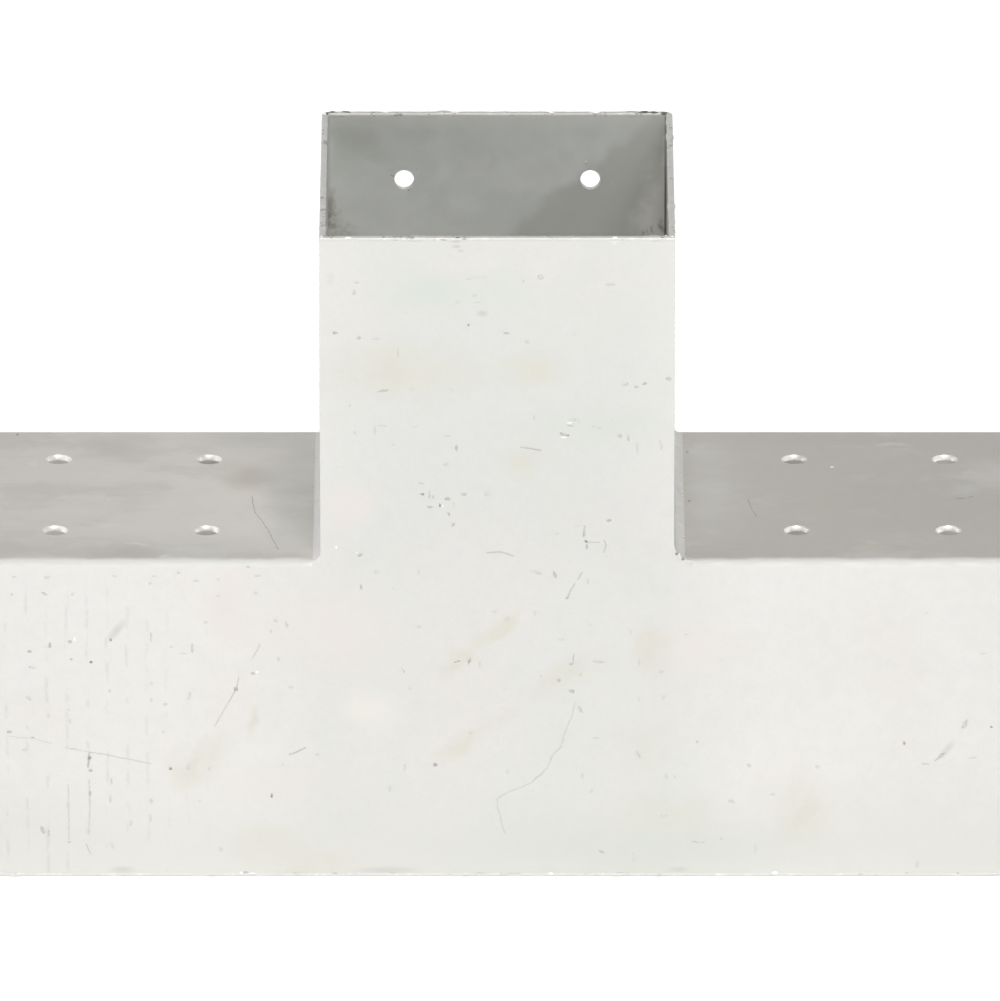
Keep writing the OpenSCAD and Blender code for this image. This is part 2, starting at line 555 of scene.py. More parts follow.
def front_colour(tree, groups, position, place, face, colour):
    """The front's blooms, stains, smears and rows of dots, its damp grey foot, and a painted shade
    along its bend into the plates.
    """
    x, _, z = split(tree, place)
    flat = joined(tree, x, z)
    blooms = ((GREEN_SPOTS, GREEN_BLOOM), (PINK_SPOTS, PINK_BLOOM), (BRIGHT_SPOTS, BRIGHT_BLOOM))
    colour = layered(tree, flat, face, colour, blooms)
    damp = product(tree, ramp(tree, z, 34 * MM, 4 * MM), face, 0.5)
    colour = blend(tree, damp, colour, DAMP_GREY)
    upright = spots(tree, flat, OLIVE_SPOTS, face)
    strokes = spots(tree, flat, OLIVE_STROKES, face, STROKE_LEAN)
    streaky = ramp(tree, noise(tree, place, 150, 3.0, 0.6, 0.1), 0.3, 0.62, 0.45, 1.0)
    olive = product(tree, maths(tree, "MAXIMUM", upright, strokes), streaky)
    colour = blend(tree, olive, colour, OLIVE_STAIN)
    # From here on the marks keep sharp outlines, so they read the place that doesn't waver
    near_x, _, near_z = split(tree, position)
    near = joined(tree, near_x, near_z)
    # Painted shade: a darker strip along the top of the front wall, where it bends into the arm
    # plates, taking out the bend's highlight
    side = maths(tree, "ABSOLUTE", near_x)
    aside = ramp(tree, side, HALF_WIDTH + 2 * MM, HALF_WIDTH + 6 * MM)
    above = ramp(tree, near_z, PLATE_TOP - 2.3 * MM, PLATE_TOP - 0.7 * MM)
    bend = product(tree, above, aside, face)
    colour = blend(tree, bend, colour, BEND_SHADE)
    colour = blend(tree, spots(tree, near, SMEAR_SPOTS, face), colour, GREY_DROSS)
    leaning = spots(tree, near, LEANING_SMEARS, face, SMEAR_LEAN)
    colour = blend(tree, leaning, colour, FAINT_DROSS)
    values = {"Position": position, "Pitch": 5.3 * MM, "Left": -110 * MM, "Right": -62 * MM}
    runs = use_group(tree, groups["runs"], values)[0]
    return blend(tree, product(tree, runs, face, 0.26), colour, GREY_DROSS)


def arm_colour(tree, position, place, face, colour):
    """The arm plates' greyer, warmer coat with its streaky clouds, the right plate darkened as
    painted shade, and a painted highlight pale along the front bend.
    """
    stretched = vectors(tree, "MULTIPLY", place, (0.45, 1.0, 1.0))[0]
    streaks = noise(tree, stretched, 60, 5.0, 0.62, 0.3)
    x, y, _ = split(tree, place)
    # Painted shade: the right plate is darkened, as if less light falls on it than on the left
    arm = blend(tree, ramp(tree, x, -30 * MM, 30 * MM), ARM_ZINC, RIGHT_ARM_SHADE)
    clouds = ((COOL_SPOTS, ARM_COOL), (WARM_SPOTS, ARM_WARM), (PALE_SPOTS, ARM_PALE))
    arm = layered(tree, joined(tree, x, y), face, arm, clouds)
    arm = blend(tree, ramp(tree, streaks, 0.55, 0.3, 0.0, 0.5), arm, ARM_WARM)
    arm = blend(tree, ramp(tree, streaks, 0.55, 0.72, 0.0, 0.3), arm, ARM_PALE)
    # The pale line along the front bend is a painted highlight; it wavers by about a third of what
    # the clouds do
    middle = blend(tree, 0.35, position, place)
    along, fore, _ = split(tree, middle)
    side = maths(tree, "ABSOLUTE", along)
    clear = ramp(tree, side, HALF_WIDTH + 2.5 * MM, HALF_WIDTH + 7 * MM, 0.45, 0.85)
    bend = product(tree, ramp(tree, fore, FACE_Y + 2.8 * MM, FACE_Y + 0.7 * MM), clear)
    arm = blend(tree, bend, arm, SHINY)
    return blend(tree, face, colour, arm)


def inside_colour(tree, position, place, face, colour):
    """The sleeve's inside: duller, with painted shadow in its right corner, a band of painted
    light, and dirt on the back wall.
    """
    clean = ramp(tree, noise(tree, place, 60, 4.0, 0.6, 0.5), 0.34, 0.72, 0.35, 1.0)
    inside = blend(tree, clean, INSIDE_DULL, INSIDE_ZINC)
    x, y, z = split(tree, place)
    flat = joined(tree, x, z)
    inside = blend(tree, spots(tree, flat, DULL_SPOTS, face), inside, INSIDE_DULL)
    rear = product(tree, ramp(tree, y, INNER - 7.5 * MM, INNER - 2.5 * MM), face)
    # Painted shadow: the back wall is darkened below a slanting line, as the right wall's shadow;
    # painted light brightens it to the right of a steeper one
    beyond = maths(tree, "MULTIPLY_ADD", z, -1.1, x)
    corner = product(tree, ramp(tree, beyond, -163 * MM, -157 * MM), rear, 0.9)
    inside = blend(tree, corner, inside, INSIDE_DARK)
    low = maths(tree, "MULTIPLY_ADD", maths(tree, "MAXIMUM", z, 153 * MM), -0.33, x)
    lit = product(tree, ramp(tree, low, -16.5 * MM, -8 * MM), rear)
    inside = blend(tree, lit, inside, INSIDE_LIGHT)
    inside = blend(tree, spots(tree, flat, DARK_SPOTS, rear), inside, INSIDE_DARK)
    speckle = ramp(tree, noise(tree, place, 520, 3.0, 0.65, 0.8), 0.36, 0.56, 0.35, 1.0)
    dirt = product(tree, spots(tree, flat, DIRT_SPOTS, rear), speckle)
    inside = blend(tree, dirt, inside, DIRT)
    near_x, _, near_z = split(tree, position)
    # Painted shade: a dark line down the inner right corner of the back wall, stronger lower down
    fading = ramp(tree, near_z, RIM - 5 * MM, RIM - 23 * MM, 0.5, 0.85)
    right = ramp(tree, near_x, INNER - 0.75 * MM, INNER - 0.4 * MM)
    right_corner_shade = product(tree, right, rear, fading)
    inside = blend(tree, right_corner_shade, inside, CORNER_SHADE)
    return blend(tree, face, colour, inside)


def face_masks(tree, position):
    """Masks for the front face, the arm plates' tops and the walls inside the sleeve."""
    x, y, z = split(tree, position)
    side = maths(tree, "ABSOLUTE", x)
    depth = maths(tree, "ABSOLUTE", y)
    front = ramp(tree, y, FACE_Y + 0.9 * MM, FACE_Y + 0.1 * MM)
    above = ramp(tree, z, PLATE_TOP - 0.7 * MM, PLATE_TOP - 0.05 * MM)
    beside = ramp(tree, side, HALF_WIDTH + 0.05 * MM, HALF_WIDTH + 0.5 * MM)
    outside, inside = INNER + 0.4 * MM, INNER + 0.1 * MM
    across = ramp(tree, side, outside, inside)
    within = ramp(tree, depth, outside, inside)
    up = ramp(tree, z, PLATE_TOP - 6 * MM, PLATE_TOP + 3 * MM)
    return front, product(tree, above, beside), product(tree, across, within, up)


def sheet_material(groups):
    """Hot-dip zinc on the folded sheet, with the marks of each face."""
    material, tree, shader, position = start_zinc("zinc_on_sheet", 0.3)
    clouds = use_group(tree, groups["clouds"], {"Position": position})
    place = warped(tree, position)
    front, arms, inside = face_masks(tree, position)
    colour = front_colour(tree, groups, position, place, front, clouds["Color"])
    colour = arm_colour(tree, position, place, arms, colour)
    colour = inside_colour(tree, position, place, inside, colour)
    tree.links.new(colour, shader.inputs["Base Color"])
    rough = ramp(tree, clouds["Mottle"], 0.3, 0.7, 0.5, 0.62)
    tree.links.new(rough, shader.inputs["Roughness"])
    add_relief(tree, groups, shader, position, 0.5, 0.3 * MM)
    return material


def speckled_material(groups, name, metallic, base, bright, dark, share):
    """Thicker zinc on rims, cut edges, welds and beads: speckled bright and dark."""
    material, tree, shader, position = start_zinc(name, metallic)
    mottle = noise(tree, position, 330, 4.0, 0.68)
    colour = blend(tree, ramp(tree, mottle, 0.52, 0.68, 0.0, 0.85), base, bright)
    flecks = noise(tree, position, 250, 4.0, 0.72, 0.3)
    low = 0.66 - 0.2 * share
    colour = blend(tree, ramp(tree, flecks, low, low + 0.1, 0.0, 0.7), colour, dark)
    tree.links.new(colour, shader.inputs["Base Color"])
    tree.links.new(ramp(tree, mottle, 0.3, 0.7, 0.56, 0.42), shader.inputs["Roughness"])
    add_relief(tree, groups, shader, position, 0.4, 0.15 * MM)
    return material


def plain_material(name, metallic, rough, first, second, scale):
    """A small piece's metal: two colours mixed by noise, and a roughness that varies with it."""
    material, tree, shader, position = start_zinc(name, metallic)
    mix = ramp(tree, noise(tree, position, scale, 2.0, 0.6), 0.38, 0.62)
    tree.links.new(blend(tree, mix, first, second), shader.inputs["Base Color"])
    tree.links.new(ramp(tree, mix, 0, 1, rough - 0.06, rough + 0.08), shader.inputs["Roughness"])
    return material


# Thicker zinc: share of metal, its colour, its bright and its dark specks, and the dark ones' share
THICK_ZINC = {
    "zinc_on_rims": (0.3, RIM_ZINC, BRIGHT_BLOOM, RIM_DARK, 0.45),
    "zinc_on_edges": (0.25, ZINC, BRIGHT_BLOOM, GREY_DROSS, 0.35),
    # Painted light: the left foot weld's zinc is near-white, standing in for the light it catches
    "weld_painted_light": (0.1, SHINY, SHINY, ZINC, 0.35),
}
# Dross in its shades: share of metal, roughness, and the two colours that mix in it
DROSS_SHADES = {
    "black": (0.1, 0.7, BLACK_DROSS, RIM_DARK),
    "dark": (0.1, 0.7, DROSS, LINE_DROSS),
    "grey": (0.2, 0.6, GREY_DROSS, FAINT_DROSS),
    "line": (0.2, 0.6, LINE_DROSS, FAINT_DROSS),
    "faint": (0.3, 0.6, FAINT_DROSS, ZINC),
    "arm": (0.3, 0.6, ARM_SCRATCH, ARM_WARM),
}
DROSS_GRAIN = 900


def thick_zinc_materials(groups):
    """The materials for rims, for edges, and for the left weld painted near-white as painted light.
    """
    return [speckled_material(groups, name, *look) for name, look in THICK_ZINC.items()]


def dross_materials():
    """A material for each shade of dross, by the shade's name."""
    return {
        shade: plain_material(f"{shade}_dross", *look, DROSS_GRAIN)
        for shade, look in DROSS_SHADES.items()
    }


# Geometry node trees for the zinc on edges, holes, welds and small marks


def floats(*names):
    return [(name, "f") for name in names]


def new_tree(name, inputs):
    """A geometry node tree for a shape and named sizes; returns tree, inputs, output socket."""
    kinds = {
        "g": "NodeSocketGeometry",
        "f": "NodeSocketFloat",
        "i": "NodeSocketInt",
        "v": "NodeSocketVector",
        "m": "NodeSocketMaterial",
    }
    tree = bpy.data.node_groups.new(name, "GeometryNodeTree")
    for label, kind in [("Path", "g"), *inputs, ("Coat", "m")]:
        tree.interface.new_socket(label, in_out="INPUT", socket_type=kinds[kind])
    tree.interface.new_socket("Piece", in_out="OUTPUT", socket_type="NodeSocketGeometry")
    return tree, add(tree, "NodeGroupInput").outputs, add(tree, "NodeGroupOutput").inputs[0]


def finish_tree(tree, given, shape, result):
    """Smooth shading, real geometry and the coat, in that order."""
    smooth = add(tree, "GeometryNodeSetShadeSmooth", {"Geometry": shape}).outputs[0]
    real = add(tree, "GeometryNodeRealizeInstances", {"Geometry": smooth}).outputs[0]
    values = {"Geometry": real, "Material": given["Coat"]}
    tree.links.new(add(tree, "GeometryNodeSetMaterial", values).outputs[0], result)


def here(tree):
    return add(tree, "GeometryNodeInputPosition").outputs[0]


def shifted(tree, shape, offset):
    values = {"Geometry": shape, "Offset": offset}
    return add(tree, "GeometryNodeSetPosition", values).outputs[0]


def push_out(tree, shape, distance):
    """Move a surface along its own normals."""
    outward = add(tree, "GeometryNodeInputNormal").outputs[0]
    return shifted(tree, shape, scaled(tree, outward, distance))


def swell(tree, given, shape, grain, lumps=0.0):
    """Push a surface in and out unevenly, with a lump here and there."""
    moved = joined(tree, given["Seed"], 0.0, given["Seed"])
    place = vectors(tree, "ADD", here(tree), moved)[0]
    wave = maths(tree, "SUBTRACT", noise(tree, place, grain, 2.0), 0.5)
    high = noise(tree, place, maths(tree, "MULTIPLY", grain, 0.35), 1.0, move=0.5)
    lump = maths(tree, "MULTIPLY", ramp(tree, high, 0.6, 0.76), lumps)
    return push_out(tree, shape, maths(tree, "MULTIPLY_ADD", wave, given["Swell"], lump))


def even_path(tree, given):
    """The path in even steps, with its normals turned to the given side."""
    values = {"Curve": given["Path"], "Length": given["Step"]}
    path = add(tree, "GeometryNodeResampleCurve", values, mode="LENGTH").outputs[0]
    values = {"Curve": path, "Normal": given["Facing"]}
    return add(tree, "GeometryNodeSetCurveNormal", values, mode="FREE").outputs[0]


def sweep(tree, path, outline):
    """The outline carried along the path, with closed ends."""
    values = {"Curve": path, "Profile Curve": outline, "Fill Caps": True}
    return add(tree, "GeometryNodeCurveToMesh", values).outputs[0]


def four_sided(tree, corners):
    """A closed outline through four corners."""
    values = {f"Point {count}": corner for count, corner in enumerate(corners, 1)}
    kind = "GeometryNodeCurvePrimitiveQuadrilateral"
    return add(tree, kind, values, mode="POINTS").outputs[0]


def rounded(tree, outline, radius):
    """An outline with its corners rounded off."""
    values = {"Curve": outline, "Count": 3, "Radius": radius, "Limit Radius": True}
    return add(tree, "GeometryNodeFilletCurve", values, mode="POLY").outputs[0]


def flat_round(tree, sides, high, half_width):
    """The outline of a bead: a circle with this many sides, flattened."""
    values = {"Resolution": sides, "Radius": 1.0}
    circle = add(tree, "GeometryNodeCurvePrimitiveCircle", values).outputs[0]
    values = {"Geometry": circle, "Scale": joined(tree, high, half_width, 1.0)}
    return add(tree, "GeometryNodeTransform", values).outputs[0]


def edge_tree():
    """Zinc that wraps a cut edge: a rounded strip swept along the path, thicker here and there."""
    sizes = floats("Step", "Width", "Depth", "Proud", "Rounding", "Swell", "Grain", "Lumps", "Seed")
    tree, given, result = new_tree("zinc_on_cut_edge", [("Facing", "v"), *sizes])
    values = {"Width": given["Depth"], "Height": given["Width"]}
    outline = add(tree, "GeometryNodeCurvePrimitiveQuadrilateral", values).outputs[0]
    outline = rounded(tree, outline, given["Rounding"])
    sink = maths(tree, "MULTIPLY_ADD", given["Depth"], -0.5, given["Proud"])
    values = {"Geometry": outline, "Translation": joined(tree, sink)}
    outline = add(tree, "GeometryNodeTransform", values).outputs[0]
    strip = sweep(tree, even_path(tree, given), outline)
    strip = swell(tree, given, strip, given["Grain"], given["Lumps"])
    finish_tree(tree, given, strip, result)
    return tree


def rings_at_points(tree, given, outline):
    """The outline turned round a circle: a ring at each point, facing the given way."""
    values = {"Resolution": 64, "Radius": given["Radius"]}
    circle = add(tree, "GeometryNodeCurvePrimitiveCircle", values).outputs[0]
    values = {"Curve": circle, "Normal": (0, 0, 1)}
    circle = add(tree, "GeometryNodeSetCurveNormal", values, mode="FREE").outputs[0]
    values = {"Vector": given["Facing"]}
    turn = add(tree, "FunctionNodeAlignRotationToVector", values, axis="Z").outputs[0]
    ring = sweep(tree, circle, outline)
    values = {"Points": given["Path"], "Instance": ring, "Rotation": turn}
    rings = add(tree, "GeometryNodeInstanceOnPoints", values).outputs[0]
    return add(tree, "GeometryNodeRealizeInstances", {"Geometry": rings}).outputs[0]


def lip_tree():
    """A rounded lip of zinc round each hole, set at the points of the path."""
    inputs = [("Facing", "v"), *floats("Radius", "Thickness", "Swell", "Seed")]
    tree, given, result = new_tree("zinc_lip", inputs)
    values = {"Resolution": 10, "Radius": given["Thickness"]}
    outline = add(tree, "GeometryNodeCurvePrimitiveCircle", values).outputs[0]
    lips = rings_at_points(tree, given, outline)
    finish_tree(tree, given, swell(tree, given, lips, 520.0), result)
    return tree


def lining_tree():
    """Bright zinc that lines a punched hole: a thin ring just below the rim, thicker lower down."""
    inputs = [("Facing", "v"), *floats("Radius", "Below", "Reach", "Taper", "Swell", "Seed")]
    tree, given, result = new_tree("zinc_lining", inputs)
    high = maths(tree, "MULTIPLY", given["Below"], -1.0)
    low = maths(tree, "MULTIPLY", given["Reach"], -1.0)
    thick = maths(tree, "MULTIPLY", given["Taper"], -1.0)
    buried, proud = 0.3 * MM, -0.02 * MM
    corners = ((high, buried), (high, proud), (low, thick), (low, buried))
    outline = four_sided(tree, [joined(tree, *corner) for corner in corners])
    rings = rings_at_points(tree, given, rounded(tree, outline, 0.1 * MM))
    finish_tree(tree, given, swell(tree, given, rings, 420.0), result)
    return tree


def ripples(tree, given, shape):
    """Even ripples across a bead that runs along the given direction, a little unsteady."""
    place = here(tree)
    along = vectors(tree, "DOT_PRODUCT", place, given["Along"])[1]
    unsteady = noise(tree, place, 260, 2.0)
    turns = maths(tree, "DIVIDE", along, given["Pitch"])
    turns = maths(tree, "MULTIPLY_ADD", unsteady, 1.6, turns)
    wave = maths(tree, "SINE", maths(tree, "MULTIPLY", turns, 2 * math.pi))
    return push_out(tree, shape, maths(tree, "MULTIPLY", wave, given["Ripple"]))


BEAD_SIZES = floats("Step", "Pitch", "Ripple", "Swell", "Seed")
BEAD_INPUTS = [("Facing", "v"), ("Along", "v"), *BEAD_SIZES]
# A square's diagonal and half of it, for a weld that sits in a corner
DIAGONAL, HALF_DIAGONAL = 1.4142, 0.7071


def weld_tree():
    """A hollow fillet weld along the path, in the corner that the facing diagonal looks out of."""
    inputs = [*floats("Radius", "Proud"), *BEAD_INPUTS]
    tree, given, result = new_tree("hollow_fillet_weld", inputs)
    radius = given["Radius"]
    reach = maths(tree, "MULTIPLY_ADD", radius, HALF_DIAGONAL, -0.05 * MM)
    span = maths(tree, "MULTIPLY_ADD", radius, HALF_DIAGONAL, 0.05 * MM)
    crown = maths(tree, "MULTIPLY", radius, 0.6)
    other = maths(tree, "MULTIPLY", span, -1.0)
    buried = -0.3 * MM
    corners = ((buried, 0.0), (reach, span), (crown, 0.0), (reach, other))
    outline = four_sided(tree, [joined(tree, *corner) for corner in corners])
    values = {"Curve": outline, "Count": 30}
    outline = add(tree, "GeometryNodeResampleCurve", values, mode="COUNT").outputs[0]
    centre = joined(tree, maths(tree, "MULTIPLY", radius, DIAGONAL))
    away = vectors(tree, "SUBTRACT", here(tree), centre)[0]
    closest = maths(tree, "SUBTRACT", radius, given["Proud"])
    stretch = maths(tree, "DIVIDE", closest, vectors(tree, "LENGTH", away)[1])
    stretch = maths(tree, "MAXIMUM", stretch, 1.0)
    hollow = vectors(tree, "ADD", centre, scaled(tree, away, stretch))[0]
    values = {"Geometry": outline, "Position": hollow}
    outline = add(tree, "GeometryNodeSetPosition", values).outputs[0]
    bead = ripples(tree, given, sweep(tree, even_path(tree, given), outline))
    finish_tree(tree, given, swell(tree, given, bead, 240.0), result)
    return tree


def seam_tree():
    """A low seam weld: a flattened round bead along the path."""
    inputs = [*floats("Half width", "Crown"), *BEAD_INPUTS]
    tree, given, result = new_tree("seam_weld", inputs)
    outline = flat_round(tree, 16, given["Crown"], given["Half width"])
    bead = ripples(tree, given, sweep(tree, even_path(tree, given), outline))
    finish_tree(tree, given, swell(tree, given, bead, 180.0), result)
    return tree


def scratch_tree():
    """Fine raised burrs of scratches, which waver in their face and thin out in places."""
    inputs = [("Facing", "v"), *floats("Step", "Half width", "Height", "Waver")]
    tree, given, result = new_tree("scratch_burr", inputs)
    place = here(tree)
    shift = wander(tree, place, 340, 3.0, 0.6)
    rise = vectors(tree, "DOT_PRODUCT", shift, given["Facing"])[1]
    shift = vectors(tree, "SUBTRACT", shift, scaled(tree, given["Facing"], rise))[0]
    path = shifted(tree, even_path(tree, given), scaled(tree, shift, given["Waver"]))
    thin = ramp(tree, noise(tree, place, 330, 2.0, 0.6, 0.4), 0.38, 0.6, 0.12, 1.0)
    path = add(tree, "GeometryNodeSetCurveRadius", {"Curve": path, "Radius": thin}).outputs[0]
    outline = flat_round(tree, 6, given["Height"], given["Half width"])
    finish_tree(tree, given, sweep(tree, path, outline), result)
    return tree


def grain_tree():
    """Grains of dross or beads of zinc, one at each point, with that point's size and turn."""
    tree, given, result = new_tree("zinc_grains", [("Detail", "i"), ("Uneven", "f")])
    kind = "GeometryNodeInputNamedAttribute"
    size, turn = [
        add(tree, kind, {"Name": name}, data_type="FLOAT_VECTOR").outputs[0]
        for name in ("size", "turn")
    ]
    turned = add(tree, "FunctionNodeEulerToRotation", {0: turn}).outputs[0]
    values = {"Radius": 1.0, "Subdivisions": given["Detail"]}
    ball = add(tree, "GeometryNodeMeshIcoSphere", values).outputs[0]
    values = {"Points": given["Path"], "Instance": ball, "Rotation": turned, "Scale": size}
    grains = add(tree, "GeometryNodeInstanceOnPoints", values).outputs[0]
    grains = add(tree, "GeometryNodeRealizeInstances", {"Geometry": grains}).outputs[0]
    shift = scaled(tree, wander(tree, here(tree), 1100, 2.0, 0.6), given["Uneven"])
    grains = shifted(tree, grains, vectors(tree, "MULTIPLY", shift, size)[0])
    finish_tree(tree, given, grains, result)
    return tree


def scatter_tree():
    """Tiny flat grains strewn over a surface, few of them large."""
    inputs = [*floats("Density", "Smallest", "Largest", "Flat"), ("Seed", "i")]
    tree, given, result = new_tree("strewn_grains", inputs)
    values = {"Mesh": given["Path"], "Density": given["Density"], "Seed": given["Seed"]}
    points = add(tree, "GeometryNodeDistributePointsOnFaces", values)
    values = {2: 0.0, 3: 1.0, "Seed": given["Seed"]}
    draw = add(tree, "FunctionNodeRandomValue", values, data_type="FLOAT").outputs[1]
    rare = maths(tree, "POWER", draw, 3.0)
    size = ramp(tree, rare, 0, 1, given["Smallest"], given["Largest"], False)
    narrow = maths(tree, "MULTIPLY", size, 0.7)
    thin = maths(tree, "MULTIPLY", size, given["Flat"])
    ball = add(tree, "GeometryNodeMeshIcoSphere", {"Radius": 1.0, "Subdivisions": 1}).outputs[0]
    values = {
        "Points": points.outputs["Points"],
        "Instance": ball,
        "Rotation": points.outputs["Rotation"],
        "Scale": joined(tree, size, narrow, thin),
    }
    grains = add(tree, "GeometryNodeInstanceOnPoints", values).outputs[0]
    finish_tree(tree, given, grains, result)
    return tree


def run_tree(name, source, tree, values):
    """Run a node tree on a path and keep the result as a plain mesh that rides on the body."""
    modifier = source.modifiers.new(tree.name, "NODES")
    modifier.node_group = tree
    for item in tree.interface.items_tree:
        if item.in_out == "INPUT" and item.name in values:
            modifier[item.identifier] = values[item.name]
    solved = source.evaluated_get(bpy.context.evaluated_depsgraph_get())
    mesh = bpy.data.meshes.new_from_object(solved)
    source.modifiers.remove(modifier)
    bpy.data.objects.remove(source)
    keep_piece(name, mesh)


def keep_piece(name, mesh):
    """Close and face a mesh outwards, and add it to the connector."""
    work = bmesh.new()
    work.from_mesh(mesh)
    bmesh.ops.remove_doubles(work, verts=work.verts, dist=1e-7)
    bmesh.ops.recalc_face_normals(work, faces=work.faces)
    work.to_mesh(mesh)
    work.free()
    mesh.name = name
    piece = linked(name, mesh)
    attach(piece, BODY)


def path_object(name, runs):
    """A curve object with one open straight-sided run for each list of points."""
    curve = bpy.data.curves.new(name, "CURVE")
    curve.dimensions = "3D"
    for run in runs:
        spline = curve.splines.new("POLY")
        spline.points.add(len(run) - 1)
        for point, place in zip(spline.points, run):
            point.co = (*place, 1)
    return linked(name, curve)


def point_object(name, places, **stored):
    """A mesh of loose points, with a vector attribute for each list that is given by name."""
    mesh = bpy.data.meshes.new(name)
    mesh.from_pydata([tuple(place) for place in places], [], [])
    for label, vectors_given in stored.items():
        attribute = mesh.attributes.new(label, "FLOAT_VECTOR", "POINT")
        for item, vector in zip(attribute.data, vectors_given):
            item.vector = vector
    return linked(name, mesh)


def along_paths(name, runs, tree, values):
    """A piece that a node tree makes along lists of points."""
    run_tree(name, path_object(name + "_path", runs), tree, values)


def at_points(name, places, tree, values, **stored):
    """A piece that a node tree makes at single points."""
    run_tree(name, point_object(name + "_points", places, **stored), tree, values)


def quarter(centre, radius, start, steps=6):
    """Points on a quarter circle, as (u, v) pairs, from the start angle on, in degrees."""
    u, v = centre
    turns = [math.radians(start + 90 * step / steps) for step in range(steps + 1)]
    return [(u + radius * math.cos(turn), v + radius * math.sin(turn)) for turn in turns]


# The pieces


def add_edge(name, tree, coat, run, facing, seed, lumps):
    """Zinc wrapped round a cut edge that runs through the given points."""
    proud = 0.1 * MM
    values = {
        "Facing": facing,
        "Step": 0.5 * MM,
        "Width": SHEET + 2 * proud,
        "Depth": 0.95 * MM,
        "Proud": proud,
        "Rounding": 0.33 * MM,
        "Swell": 0.2 * MM,
        "Grain": 420.0,
        "Lumps": lumps,
        "Seed": seed,
        "Coat": coat,
    }
    along_paths(name, [run], tree, values)


def add_rims(tree, coat):
    """The sleeve's rim: the front wall's top edge, and the cover's round three sides."""
    end = HALF_WIDTH + 0.05 * MM
    front = [(-end, -MID_SHEET, RIM), (end, -MID_SHEET, RIM)]
    add_edge("rim_zinc_front", tree, coat, front, (0, 0, 1), 1.0, 0.22 * MM)
    bend = CORNER_OUT - SHEET / 2
    centre = MID_SHEET - bend
    start = FACE_Y - 0.02 * MM
    outline = [(MID_SHEET, start), *quarter((centre, centre), bend, 0)]
    outline += [*quarter((-centre, centre), bend, 90), (-MID_SHEET, start)]
    around = [(x, y, RIM) for x, y in outline]
    add_edge("rim_zinc_cover", tree, coat, around, (0, 0, 1), 2.0, 0.3 * MM)


def add_cut_edges(coat, rim_coat):
    """The sleeve's rim, the channel's lower edges and the two open ends."""
    tree = edge_tree()
    add_rims(tree, rim_coat)
    for side, label, seed in ((-1, "front", 3.0), (1, "back", 4.0)):
        run = [(-ARM_END, side * MID_SHEET, 0), (ARM_END, side * MID_SHEET, 0)]
        name = f"lower_edge_zinc_{label}"
        add_edge(name, tree, coat, run, (0, 0, -1), seed, 0.22 * MM)
    bend = BEND_OUT - SHEET / 2
    high = PLATE_TOP - SHEET / 2 - bend
    centre = MID_SHEET - bend
    outline = [(MID_SHEET, 0), *quarter((centre, high), bend, 0)]
    outline += [*quarter((-centre, high), bend, 90), (-MID_SHEET, 0)]
    for side, label, seed in ((-1, "left", 5.0), (1, "right", 6.0)):
        arch = [(side * ARM_END, y, z) for y, z in outline]
        name = f"arm_end_zinc_{label}"
        add_edge(name, tree, coat, arch, (side, 0, 0), seed, 0.2 * MM)


def add_lips(name, tree, coat, places, facing, radius, thickness, seed):
    """A rounded lip of zinc round each of some equal holes."""
    values = {
        "Facing": facing,
        "Radius": radius,
        "Thickness": thickness,
        "Swell": 0.14 * MM,
        "Seed": seed,
        "Coat": coat,
    }
    at_points(name, places, tree, values)


def add_hole_zinc(coat, shiny):
    """Bright linings in the arm plates' holes, and lips under them and round the sleeve's holes."""
    lining, lip = lining_tree(), lip_tree()
    sunk = 0.2 * MM
    for seed, label, holes_x in ((10.0, "left", LEFT_HOLES_X), (12.0, "right", RIGHT_HOLES_X)):
        spread = [(x, y) for x in holes_x for y in (-ARM_HOLE_Y, ARM_HOLE_Y)]
        values = {
            "Facing": (0, 0, 1),
            "Radius": ARM_HOLE_R,
            "Below": 0.03 * MM,
            "Reach": 1.46 * MM,
            "Taper": 0.5 * MM,
            "Swell": 0.02 * MM,
            "Seed": seed,
            "Coat": shiny,
        }
        places = [(x, y, PLATE_TOP) for x, y in spread]
        at_points(f"hole_lining_{label}", places, lining, values)
        places = [(x, y, PLATE_TOP - SHEET + sunk) for x, y in spread]
        name = f"hole_lips_{label}_under"
        radius = ARM_HOLE_R + sunk
        add_lips(name, lip, coat, places, (0, 0, 1), radius, 0.3 * MM, seed + 3)
    for depth, face in ((INNER + sunk, "inside"), (HALF_WIDTH - sunk, "outside")):
        places = [(side * SLEEVE_HOLE_X, depth, SLEEVE_HOLE_Z) for side in (-1, 1)]
        name = f"sleeve_hole_lips_{face}"
        radius = SLEEVE_HOLE_R + 0.08 * MM
        add_lips(name, lip, coat, places, (0, 1, 0), radius, 0.22 * MM, 17.0)


def add_foot_welds(coats):
    """The hollow fillet welds at the feet of the sleeve's side walls, the left one painted brighter
    as painted light.
    """
    tree = weld_tree()
    fore, aft = FACE_Y + 0.8 * MM, HALF_WIDTH - 2.4 * MM
    welds = ((-1, "left", LEFT_WELD_R), (1, "right", RIGHT_WELD_R))
    for (side, label, radius), coat in zip(welds, coats):
        run = [(side * HALF_WIDTH, y, PLATE_TOP) for y in (fore, aft)]
        values = {
            "Radius": radius,
            "Proud": 0.04 * MM,
            "Facing": (side * math.sqrt(0.5), 0, math.sqrt(0.5)),
            "Along": (0, 1, 0),
            "Step": 0.25 * MM,
            "Pitch": 2.3 * MM,
            "Ripple": 0.02 * MM,
            "Swell": 0.14 * MM,
            "Seed": 21.0 + side,
            "Coat": coat,
        }
        along_paths(f"foot_weld_{label}", [run], tree, values)


def add_seam(name, tree, coat, run, facing, along, half_width, crown, seed):
    """One low weld that runs through the given points."""
    values = {
        "Half width": half_width,
        "Crown": crown,
        "Facing": facing,
        "Along": along,
        "Step": 0.4 * MM,
        "Pitch": 1.9 * MM,
        "Ripple": 0.04 * MM,
        "Swell": 0.12 * MM,
        "Seed": seed,
        "Coat": coat,
    }
    along_paths(name, [run], tree, values)


